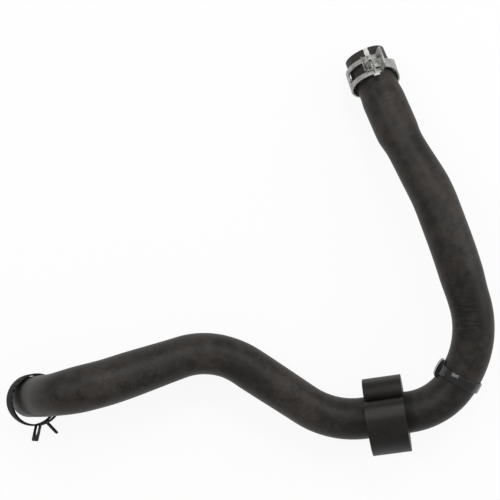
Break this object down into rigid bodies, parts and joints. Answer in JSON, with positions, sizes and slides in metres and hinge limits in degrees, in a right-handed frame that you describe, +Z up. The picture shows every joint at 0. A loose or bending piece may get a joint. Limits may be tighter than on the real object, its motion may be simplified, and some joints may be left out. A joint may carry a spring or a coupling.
{
  "type": "heater hose",
  "caption": "Moulded black rubber heater hose with a steep elbow, an arch and a wide bend, open spring band clamps on its ends, a split rubber collar and a cable tie.",
  "frame": {"origin": "on the bench, under the middle of the outline of the hose as it lies at rest", "axes": "+Z up from the bench; +X along the longer side of the outline, from the steep elbow at the lower end towards the wide bend; +Y towards the upper end"},
  "size_m": [0.3184, 0.2696, 0.0676],
  "materials": {
    "hose_rubber": "satin black moulded rubber, lightly dusty",
    "collar_rubber": "matt black soft rubber",
    "clamp_zinc": "satin grey zinc flake on spring steel",
    "clip_zinc": "satin grey zinc on thin steel strip",
    "clamp_black": "satin black coated spring steel",
    "tie_nylon": "glossy black nylon"
  },
  "bodies": {
    "root": {"hose": "hose_rubber", "upper_clamp": "clamp_zinc", "upper_clamp_retainer": "clip_zinc", "lower_clamp": "clamp_black", "collar": "collar_rubber", "cable_tie": "tie_nylon"}
  },
  "joints": []
}
